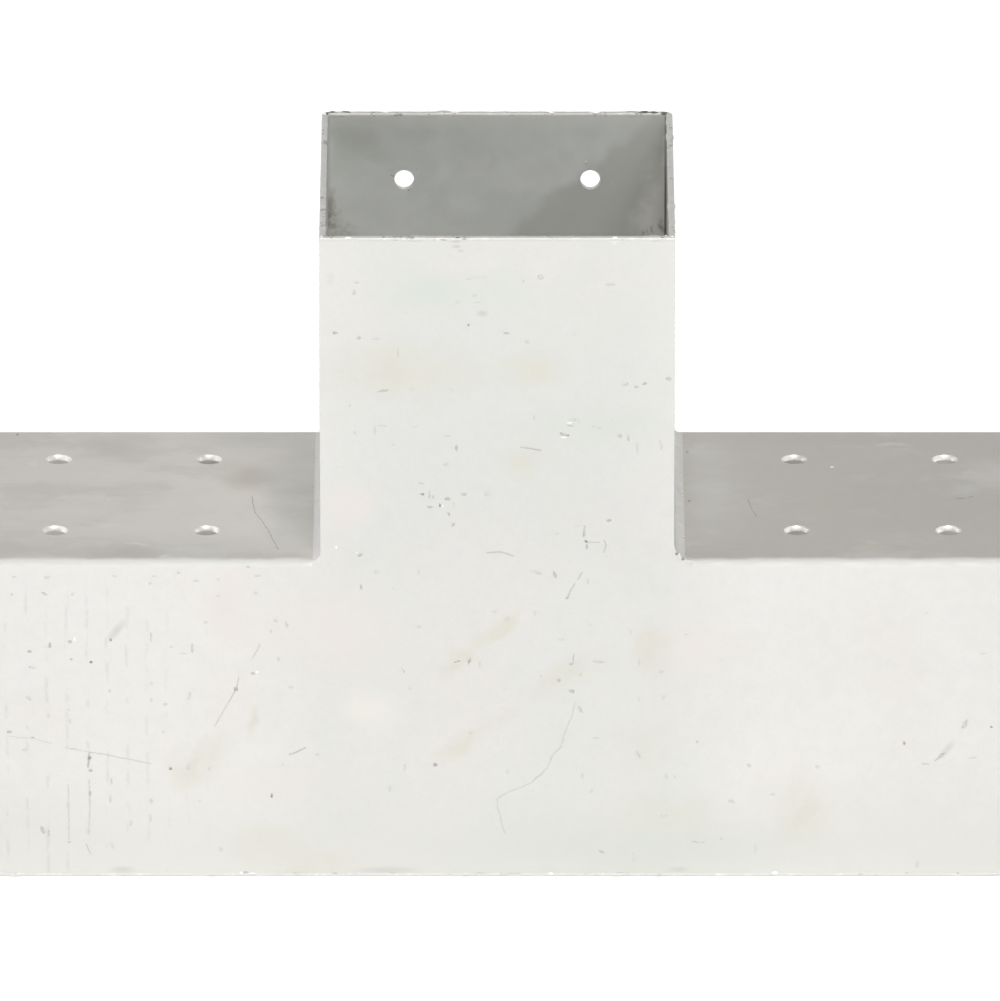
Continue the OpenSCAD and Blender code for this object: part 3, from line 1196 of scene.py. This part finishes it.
def add_seams(coat):
    """Where the cover is welded on: up both front corners, and along its foot at the back."""
    tree = seam_tree()
    foot, head = PLATE_TOP + 1 * MM, RIM - 1.5 * MM
    for side, label in ((-1, "left"), (1, "right")):
        run = [(side * HALF_WIDTH, -INNER, z) for z in (foot, head)]
        ways = ((side, 0, 0), (0, 0, 1))
        name = f"upright_seam_{label}"
        add_seam(name, tree, coat, run, *ways, 0.8 * MM, 0.08 * MM, 31.0 + side)
    reach = HALF_WIDTH - CORNER_OUT + 0.5 * MM
    run = [(side * reach, HALF_WIDTH, PLATE_TOP) for side in (-1, 1)]
    ways = ((0, 1, 0), (1, 0, 0))
    add_seam("back_seam", tree, coat, run, *ways, 1.5 * MM, 0.32 * MM, 35.0)


# Scratches and cracks in the coat, in mm: half width, then points on the face that they run through
FRONT_SCRATCHES = [
    (0.24, [(-2.7, 93.4), (1.0, 93.5), (4.3, 92.4)]),
    (0.26, [(6.1, 123.5), (11.7, 122.7)]),
    (0.16, [(23.9, 96.3), (27.3, 96.3)]),
    (0.2, [(28.4, 97.0), (29.0, 95.4), (28.3, 93.2)]),
    (0.18, [(-68.8, 57.5), (-69.6, 54.0), (-71.6, 50.2)]),
    (0.24, [(-55.6, 35.1), (-53.4, 35.9), (-51.0, 37.1)]),
    (0.2, [(22.6, 87.6), (21.4, 85.6)]),
    (0.2, [(20.7, 84.4), (19.6, 82.6), (18.8, 80.4)]),
    (0.2, [(20.4, 64.3), (20.3, 61.6)]),
    (0.13, [(-108.9, 35.9), (-102.3, 34.7), (-97.5, 33.6)]),
    (0.3, [(-108.9, 35.9), (-109.3, 31.5)]),
    (0.2, [(116.8, 33.2), (119.5, 35.6)]),
]
FRONT_CRACKS = [
    (0.22, [(20.7, 50.2), (19.9, 46.2), (18.0, 41.1), (17.0, 37.4), (14.6, 34.8), (13.5, 31.6)]),
    (0.24, [(13.5, 31.6), (11.4, 29.1), (9.0, 27.1), (6.1, 25.6), (2.6, 24.2), (0.2, 22.5)]),
    (0.22, [(0.2, 22.5), (-0.1, 20.2), (1.0, 16.8), (2.1, 12.2)]),
    (0.22, [(-71.6, 50.2), (-73.1, 47.5), (-75.5, 43.1)]),
    (0.22, [(-63.0, 67.0), (-65.2, 62.8)]),
    (0.13, [(-130.3, 40.5), (-123.1, 39.6), (-118.8, 38.2)]),
    (0.13, [(-115.2, 37.2), (-108.9, 35.9)]),
    (0.2, [(-97.5, 33.6), (-92.2, 32.5)]),
    (0.2, [(-114.6, 26.5), (-114.4, 10.5)]),
    (0.24, [(-109.0, 28.0), (-108.8, 20.5), (-109.2, 12.0)]),
    (0.24, [(-110.0, 9.6), (-108.6, 6.0)]),
    (0.14, [(-6.2, 171.8), (-2.8, 172.0)]),
]
ARM_SCRATCHES = [
    (0.14, [(-65.7, -1.0), (-65.4, -6.5), (-64.9, -11.5), (-63.8, -16.0), (-62.5, -20.0)]),
    (0.14, [(-62.5, -20.0), (-61.0, -25.5), (-59.8, -32.0), (-58.2, -39.0)]),
    (0.15, [(67.2, -3.0), (67.6, -7.0), (68.4, -11.0), (69.4, -15.5)]),
]
# Small marks on the front: x, z, half length, half height in mm, and turn in degrees
DARK_MARKS = [
    (-7.7, 158.3, 0.48, 0.38, 20),
    (-20.0, 110.1, 0.6, 0.38, 0),
    (-15.2, 106.8, 0.36, 0.5, 10),
    (23.7, 96.5, 0.5, 0.32, -25),
    (-102.9, 68.3, 0.33, 0.5, 0),
    (-108.2, 61.8, 0.45, 0.42, 0),
    (-69.6, 54.0, 0.55, 0.6, 0),
    (-108.8, 34.1, 0.5, 0.8, 8),
    (-87.3, 31.1, 0.42, 0.42, 0),
    (-60.2, 23.3, 0.36, 0.6, 10),
    (-16.5, 32.2, 0.52, 0.52, 0),
    (108.6, 38.5, 0.36, 0.65, 12),
    (131.9, 43.1, 0.4, 0.4, 0),
    (-39.6, 182.9, 0.5, 0.4, 0),
    (47.7, 93.0, 0.45, 0.5, 0),
    (49.5, 91.6, 0.5, 0.45, 20),
]
GREY_MARKS = [
    (-36.4, 92.6, 0.75, 0.45, 12),
    (-36.6, 154.6, 0.65, 0.5, 0),
    (2.4, 156.0, 0.9, 0.3, -5),
    (39.0, 141.6, 0.9, 0.36, 15),
    (45.4, 143.0, 0.8, 0.5, -20),
    (6.9, 170.8, 0.34, 0.28, 0),
    (17.8, 127.1, 1.5, 0.32, -22),
    (19.4, 129.6, 0.9, 0.24, -10),
    (32.6, 126.7, 0.6, 0.5, 0),
    (-36.2, 83.6, 0.32, 0.8, 0),
    (-120.4, 81.5, 0.9, 0.36, -25),
    (28.0, 6.9, 0.9, 0.34, -22),
    (118.4, 34.8, 1.1, 0.42, 42),
    (18.6, 80.2, 0.5, 0.4, 0),
    (53.4, 38.8, 0.36, 0.38, 0),
    (-18.0, 109.8, 0.24, 1.3, 0),
    (-43.1, 156.2, 0.9, 0.5, 0),
    (-30.3, 139.6, 1.5, 0.36, 12),
    (36.9, 140.7, 0.7, 0.36, -15),
    (-10.8, 123.3, 0.36, 0.9, 0),
    (-17.8, 106.4, 0.75, 0.4, -10),
    (-13.3, 108.7, 0.7, 0.5, 0),
    (-12.9, 104.4, 0.36, 0.65, 15),
    (-11.7, 101.2, 0.42, 0.6, -30),
    (-8.8, 110.0, 0.85, 0.42, 0),
    (-20.2, 113.1, 0.75, 0.26, -10),
    (-17.0, 109.2, 0.36, 0.55, 0),
    (34.8, 126.1, 0.32, 0.85, 0),
    (23.1, 99.2, 0.32, 1.5, -8),
    (23.8, 94.9, 0.32, 0.8, 0),
    (29.7, 102.5, 0.75, 0.5, 20),
    (-119.2, 66.7, 0.36, 0.85, 0),
    (-113.9, 67.7, 0.48, 0.45, 0),
    (-124.6, 64.9, 0.75, 0.36, 0),
    (-113.5, 62.6, 0.42, 0.4, 0),
    (-65.1, 58.6, 0.65, 0.5, 0),
    (-10.7, 62.0, 1.0, 0.3, 12),
    (-7.4, 62.3, 0.42, 1.0, -20),
    (15.4, 87.0, 0.5, 1.0, 12),
    (19.8, 61.3, 0.65, 0.4, 10),
    (16.4, 56.6, 0.5, 0.5, 0),
    (19.9, 53.4, 0.75, 0.6, 0),
    (-130.2, 41.7, 0.75, 0.36, 0),
    (-124.0, 40.1, 0.46, 0.26, 0),
    (-108.6, 35.7, 0.5, 0.26, 0),
    (-108.6, 30.5, 0.5, 0.46, 0),
    (-121.5, 13.3, 0.46, 1.2, 18),
    (-119.9, 12.5, 0.28, 1.1, 0),
    (-114.4, 9.8, 0.5, 0.36, 0),
    (-108.8, 23.8, 0.36, 0.75, 0),
]
FAINT_MARKS = [
    (-7.2, 171.6, 1.1, 0.4, 5),
    (-12.3, 140.0, 0.45, 0.55, 0),
    (20.4, 155.8, 0.6, 0.36, 30),
    (-30.6, 129.6, 1.1, 0.26, -8),
    (-22.1, 129.3, 0.9, 0.26, 0),
    (-13.3, 126.7, 1.1, 0.26, -6),
    (9.8, 132.1, 0.32, 0.9, 0),
    (15.9, 98.8, 0.6, 0.36, 0),
    (-83.7, 64.3, 0.85, 0.24, 0),
    (-81.3, 66.0, 0.42, 1.6, 0),
    (-80.0, 85.2, 0.85, 0.3, 0),
    (-59.0, 73.7, 0.8, 0.45, -30),
    (-60.2, 70.6, 0.36, 0.75, 0),
    (-56.0, 72.6, 0.4, 1.0, 12),
    (-58.2, 62.8, 0.46, 0.55, 0),
    (-103.4, 53.5, 0.46, 0.46, 0),
    (-123.9, 60.3, 1.2, 0.24, -18),
    (-119.6, 46.4, 0.38, 0.55, 0),
    (-119.6, 86.3, 0.85, 0.45, 0),
    (-114.0, 44.8, 0.36, 0.85, 0),
    (2.6, 74.3, 0.8, 0.6, 0),
    (-114.3, 48.0, 0.38, 0.4, 0),
    (24.7, 72.7, 0.46, 0.5, 0),
    (43.8, 59.1, 0.75, 0.45, 0),
    (37.9, 61.7, 0.32, 0.9, 0),
    (-24.7, 31.4, 0.46, 1.0, 0),
    (-28.7, 25.3, 0.46, 0.9, 0),
    (2.8, 30.2, 0.46, 0.8, 0),
    (44.6, 17.5, 1.0, 0.5, -8),
    (24.8, 6.9, 0.36, 0.65, 0),
    (60.0, 10.7, 0.46, 0.46, 0),
    (114.5, 32.5, 1.2, 0.26, 0),
    (85.5, 31.6, 0.6, 0.6, 0),
    (129.6, 64.3, 0.9, 0.24, 0),
    (-57.3, 32.2, 0.38, 0.38, 0),
    (-7.1, 41.4, 0.6, 0.5, 0),
    (-25.0, 59.4, 1.0, 0.28, -63),
    (-89.1, 41.7, 0.5, 0.36, 0),
    (-82.3, 31.6, 0.6, 1.0, -15),
    (-103.0, 27.4, 0.36, 0.85, 0),
    (-103.3, 22.4, 0.36, 1.3, 0),
    (-102.9, 8.8, 0.3, 1.3, 20),
    (-39.1, 135.3, 0.4, 0.32, 0),
    (-6.1, 166.8, 0.75, 0.45, 0),
    (-5.3, 164.8, 0.9, 0.28, 0),
    (-10.4, 164.8, 0.85, 0.45, 0),
    (-37.2, 170.5, 0.75, 0.5, 0),
    (-37.8, 167.6, 0.5, 0.75, 0),
    (-32.2, 154.5, 1.1, 0.45, 0),
    (-26.3, 150.7, 0.24, 1.3, 0),
    (-22.6, 140.2, 0.85, 0.65, 0),
    (11.4, 171.9, 1.0, 0.7, 0),
    (30.0, 169.9, 1.2, 0.42, 0),
    (7.9, 153.7, 0.55, 0.75, 0),
    (34.0, 141.6, 1.0, 0.7, 0),
    (-32.5, 128.4, 0.46, 1.3, 0),
    (-37.8, 127.6, 0.36, 0.75, 0),
    (-27.5, 124.4, 0.55, 0.55, 0),
    (-13.6, 118.7, 0.85, 0.65, 0),
    (-2.6, 110.2, 0.75, 0.8, 0),
    (-11.5, 106.9, 0.24, 1.0, 0),
    (20.7, 131.3, 1.5, 0.5, -10),
    (26.5, 129.3, 1.3, 0.5, -5),
    (37.2, 123.3, 0.3, 1.6, 0),
    (43.5, 124.1, 0.42, 1.6, 10),
    (21.5, 100.9, 1.0, 0.24, 0),
    (-128.4, 86.3, 0.75, 0.28, 0),
    (-129.2, 81.3, 0.5, 0.45, 0),
    (-113.0, 81.3, 0.38, 0.6, 0),
    (-101.8, 86.6, 0.65, 0.28, 0),
    (-92.2, 84.6, 0.6, 0.42, 25),
    (-91.2, 86.6, 0.55, 0.3, 0),
    (-84.8, 87.5, 0.46, 0.36, 0),
    (-74.2, 85.6, 0.55, 0.36, 0),
    (-74.2, 81.0, 0.5, 0.36, 0),
    (-66.2, 89.2, 0.46, 0.36, 0),
    (-125.0, 51.4, 0.9, 0.5, -50),
    (-92.2, 55.7, 0.46, 0.46, 0),
    (-92.2, 50.8, 0.3, 0.75, 0),
    (-92.2, 69.0, 0.28, 1.7, 0),
    (-86.9, 66.3, 0.46, 0.4, 0),
    (-77.6, 73.4, 0.55, 0.46, 0),
    (-88.5, 49.7, 0.65, 0.46, 0),
    (-82.1, 52.0, 0.4, 1.3, -20),
    (-63.8, 86.6, 0.85, 0.3, 0),
    (-64.2, 81.7, 0.55, 0.55, 0),
    (-31.9, 87.8, 0.8, 0.5, 0),
    (-20.8, 87.5, 0.36, 0.75, 0),
    (-55.0, 54.6, 0.75, 0.36, 0),
    (-23.3, 54.3, 0.36, 0.55, 0),
    (-21.0, 72.0, 0.65, 0.46, 0),
    (-0.8, 76.3, 0.65, 0.46, 0),
    (-4.6, 61.1, 0.36, 1.0, 0),
    (10.4, 87.6, 1.8, 0.36, -18),
    (24.1, 84.9, 0.28, 0.9, 0),
    (10.1, 76.0, 0.46, 0.65, 0),
    (17.0, 68.3, 0.75, 0.36, 0),
    (27.3, 62.0, 1.8, 0.4, -5),
    (22.2, 48.2, 1.3, 0.26, -58),
    (22.3, 58.8, 0.46, 1.0, 0),
    (37.9, 51.1, 0.3, 0.85, 0),
    (44.3, 51.7, 0.55, 0.55, 0),
    (35.6, 70.3, 0.3, 0.85, 0),
    (-126.2, 36.5, 0.55, 0.46, 0),
    (-113.2, 36.8, 0.9, 0.24, 0),
    (-76.8, 31.1, 0.46, 0.75, 0),
    (-73.9, 7.6, 0.65, 0.65, 0),
    (-79.5, 21.6, 0.46, 0.3, 0),
    (-92.5, 21.7, 0.46, 0.75, 0),
    (-92.7, 16.8, 0.36, 1.0, 0),
    (-98.0, 15.4, 0.55, 0.85, 0),
    (-48.0, 35.1, 0.6, 0.46, 0),
    (26.3, 39.9, 1.2, 0.24, 0),
    (22.8, 28.8, 0.36, 1.0, 0),
    (25.2, 24.5, 0.46, 0.55, 0),
    (45.1, 28.8, 0.46, 0.75, 0),
    (47.3, 28.8, 0.3, 0.55, 0),
    (24.1, 11.6, 0.46, 0.55, 0),
    (53.6, 9.9, 1.9, 0.28, -4),
    (69.1, 7.9, 0.3, 1.1, 0),
    (37.7, 35.4, 0.46, 1.3, 20),
    (62.7, 21.6, 1.1, 0.46, -15),
    (67.2, 32.0, 0.65, 0.55, 0),
    (36.4, 5.3, 0.46, 1.5, 0),
    (127.0, 34.2, 1.4, 0.24, 0),
    (73.6, 23.6, 0.75, 0.36, 0),
    (112.4, 3.3, 0.55, 1.1, 0),
    (124.8, 43.9, 0.55, 1.5, -15),
]
# Small marks on the arm plates: x, y, half length, half depth in mm, and turn in degrees
ARM_MARKS = [
    (51.4, -4.4, 0.4, 0.9, 0),
    (51.2, 31, 0.4, 0.9, 0),
    (124.2, -2.6, 1.5, 0.4, 4),
    (127.0, -1.6, 1.0, 0.4, 25),
    (-129.5, 43.5, 0.4, 0.9, 0),
]
# Bright beads of zinc, in mm: x, y, z and half sizes along X, Y and Z
ZINC_BEADS = [
    (-39.4, -46.9, 183.1, 0.9, 0.3, 0.26),
    (31.2, -46.9, 183.1, 0.7, 0.3, 0.26),
    (-46.4, -46.4, 182.9, 0.4, 0.4, 0.5),
    (44.6, -45.6, 183.1, 0.26, 0.26, 0.26),
    (46.3, -46.2, 183.0, 0.5, 0.4, 0.4),
    (-46.2, 44.8, 183.1, 0.45, 0.5, 0.35),
    (-43.3, 46.3, 183.2, 1.1, 0.4, 0.3),
    (-11.4, 46.3, 183.1, 1.2, 0.4, 0.28),
    (14.5, 46.3, 183.1, 0.9, 0.4, 0.26),
    (26.5, 46.3, 183.1, 1.6, 0.4, 0.28),
    (-30.0, 46.3, 183.1, 0.8, 0.4, 0.24),
    (48.5, -46.8, 92.3, 0.32, 0.2, 0.75),
    (-42.8, -46.98, 94.7, 0.42, 0.12, 0.38),
    (-14.5, -46.98, 106.6, 0.26, 0.12, 0.3),
    (-37.4, -46.98, 93.3, 0.3, 0.1, 0.22),
    (-64.0, -46.98, 58.9, 0.36, 0.12, 0.3),
    (17.6, -46.98, 126.3, 0.9, 0.1, 0.12),
    (19.2, -46.98, 130.4, 0.7, 0.1, 0.12),
    (-112.6, -46.98, 68.4, 0.22, 0.12, 0.8),
    (23.9, 45.44, 168.5, 0.3, 0.12, 0.8),
    (-75, 45.4, 90.6, 1.8, 0.6, 0.3),
    (-71, 45.6, 90.5, 1.3, 0.5, 0.3),
    (-56, 45.5, 90.6, 2.0, 0.6, 0.3),
    (75, 45.5, 90.6, 2.0, 0.6, 0.3),
    (90, 20, 91.0, 0.5, 0.4, 0.14),
    (-68.4, -46.95, 0.8, 0.5, 0.16, 0.4),
    (-65.4, -46.95, 0.6, 1.0, 0.16, 0.3),
    (-50.0, -46.95, 0.3, 5.0, 0.14, 0.26),
    (-5.8, -46.95, 0.3, 3.6, 0.14, 0.26),
    (14.3, -46.95, 0.5, 0.8, 0.16, 0.4),
    (34.2, -46.95, 0.4, 3.8, 0.14, 0.32),
    (59.0, -46.95, 0.4, 6.0, 0.14, 0.28),
    (74.4, -46.95, 0.8, 0.8, 0.16, 0.5),
    (110.5, -46.95, 0.4, 1.3, 0.14, 0.28),
]
# Dark dross on the rim: on its back corners and in three places along its front
RIM_DROSS = [
    (-43.8, 46.2, 183.0, 1.7, 0.6, 0.4),
    (-40.8, 46.3, 183.0, 1.4, 0.5, 0.36),
    (-45.8, 45.2, 183.0, 0.5, 0.9, 0.36),
    (39.4, 46.2, 183.0, 1.4, 0.6, 0.42),
    (42.0, 46.0, 183.0, 1.3, 0.6, 0.4),
    (44.8, 45.6, 183.0, 0.9, 0.8, 0.42),
    (-30.0, -46.6, 182.9, 0.7, 0.4, 0.3),
    (42.8, -46.7, 182.9, 3.0, 0.3, 0.24),
    (-10.4, -46.7, 182.8, 1.1, 0.4, 0.4),
]
# Grey dross along the front's lower edge
FOOT_DROSS = [
    (-131.0, -46.9, 0.5, 1.3, 0.16, 0.2),
    (-126.3, -46.9, 0.4, 0.8, 0.16, 0.18),
    (-117.4, -46.9, 0.4, 1.6, 0.16, 0.18),
    (-67.4, -46.95, 1.0, 0.8, 0.16, 0.4),
    (-53.6, -46.95, 0.9, 1.4, 0.12, 0.3),
    (-43.4, -46.95, 0.7, 1.0, 0.14, 0.3),
    (-28.0, -46.95, 0.8, 1.0, 0.16, 0.4),
    (-4.8, -46.9, 0.8, 2.0, 0.14, 0.2),
    (4.4, -46.95, 0.7, 2.2, 0.14, 0.26),
    (33.4, -46.9, 0.9, 2.4, 0.14, 0.18),
    (53.4, -46.9, 0.5, 1.0, 0.14, 0.24),
    (109.6, -46.95, 0.8, 0.4, 0.14, 0.36),
    (123.2, -46.95, 0.8, 0.4, 0.14, 0.3),
]


def add_scratches(name, tree, coat, scratches, put, facing):
    """One piece for each width of scratch: thin lines through the points that the table gives."""
    for half in sorted({half for half, _ in scratches}):
        runs = [[put(u, v) for u, v in points] for width, points in scratches if width == half]
        values = {
            "Facing": facing,
            "Step": 0.3 * MM,
            "Half width": half * MM,
            "Height": 0.03 * MM,
            "Waver": 0.7 * MM,
            "Coat": coat,
        }
        along_paths(f"{name}_{round(half * 100)}", runs, tree, values)


# How far a flat mark stands into and out of its face, and how ragged its outline is
MARK_DEPTH = 0.07 * MM
MARK_UNEVEN = 1.6


def add_grains(name, tree, coat, places, sizes, turns, uneven):
    """Grains of zinc or dross with their own half sizes and turns."""
    values = {"Detail": 3, "Uneven": uneven, "Coat": coat}
    at_points(name, places, tree, values, size=sizes, turn=turns)


def on_front(x, z):
    """A place on the front face, from millimetres."""
    return Vector((x * MM, FACE_Y, z * MM))


def on_plate(x, y):
    """A place on an arm plate's top, from millimetres."""
    return Vector((x * MM, y * MM, PLATE_TOP))


def add_beads(name, tree, coat, table):
    """Beads from a table that gives the place and the half sizes."""
    places = [Vector(bead[:3]) * MM for bead in table]
    sizes = [Vector(bead[3:]) * MM for bead in table]
    unturned = [(0, 0, 0)] * len(table)
    add_grains(name, tree, coat, places, sizes, unturned, 1.0)


def add_front_marks(name, tree, coat, table):
    """Thin flat marks on the front face."""
    places = [on_front(x, z) for x, z, _, _, _ in table]
    sizes = [(length * MM, MARK_DEPTH, height * MM) for _, _, length, height, _ in table]
    turns = [(0, -math.radians(turn), 0) for _, _, _, _, turn in table]
    add_grains(name, tree, coat, places, sizes, turns, MARK_UNEVEN)


def add_arm_marks(name, tree, coat, table):
    """Thin flat marks on the arm plates."""
    places = [on_plate(x, y) for x, y, _, _, _ in table]
    sizes = [(length * MM, depth * MM, MARK_DEPTH) for _, _, length, depth, _ in table]
    turns = [(0, 0, math.radians(turn)) for _, _, _, _, turn in table]
    add_grains(name, tree, coat, places, sizes, turns, MARK_UNEVEN)


def add_marks(dross, shiny):
    """Scratches, specks and smears of dross on the front and the plates, and beads of zinc."""
    lines, grains = scratch_tree(), grain_tree()
    for name, shade, table, put, facing in (
        ("scratches_front", "line", FRONT_SCRATCHES, on_front, (0, -1, 0)),
        ("cracks_front", "faint", FRONT_CRACKS, on_front, (0, -1, 0)),
        ("scratches_arms", "arm", ARM_SCRATCHES, on_plate, (0, 0, 1)),
    ):
        add_scratches(name, lines, dross[shade], table, put, facing)
    for shade, table in (("dark", DARK_MARKS), ("grey", GREY_MARKS), ("faint", FAINT_MARKS)):
        add_front_marks("dross_" + shade, grains, dross[shade], table)
    add_arm_marks("dross_arms", grains, dross["arm"], ARM_MARKS)
    add_beads("zinc_beads", grains, shiny, ZINC_BEADS)
    add_beads("dross_rim", grains, dross["black"], RIM_DROSS)
    add_beads("dross_foot", grains, dross["grey"], FOOT_DROSS)


def add_strewn_grains(dross, coat):
    """Fine specks and nibs strewn over the whole sheet."""
    tree = scatter_tree()
    sheet_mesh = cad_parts[NODE].data
    for name, metal, density, largest, seed in (
        ("dross_strewn", dross, 3600.0, 0.26 * MM, 3),
        ("zinc_nibs", coat, 2600.0, 0.34 * MM, 8),
    ):
        source = linked(name + "_sheet", sheet_mesh.copy())
        values = {
            "Density": density,
            "Smallest": 0.08 * MM,
            "Largest": largest,
            "Flat": 0.3,
            "Seed": seed,
            "Coat": metal,
        }
        run_tree(name, source, tree, values)


def main():
    bpy.context.scene.view_settings.view_transform = "Standard"
    make_camera()
    make_world()
    make_floor()
    light_studio()
    groups = make_groups()
    sheet = sheet_material(groups)
    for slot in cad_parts[NODE].material_slots:
        slot.material = sheet
    rims, edges, painted_light_weld = thick_zinc_materials(groups)
    shiny = plain_material("bright_zinc", 0.75, 0.36, SHINY, ARM_PALE, 600)
    dross = dross_materials()
    add_cut_edges(edges, rims)
    add_hole_zinc(edges, shiny)
    add_foot_welds((painted_light_weld, edges))
    add_seams(edges)
    add_marks(dross, shiny)
    add_strewn_grains(dross["faint"], edges)


main()
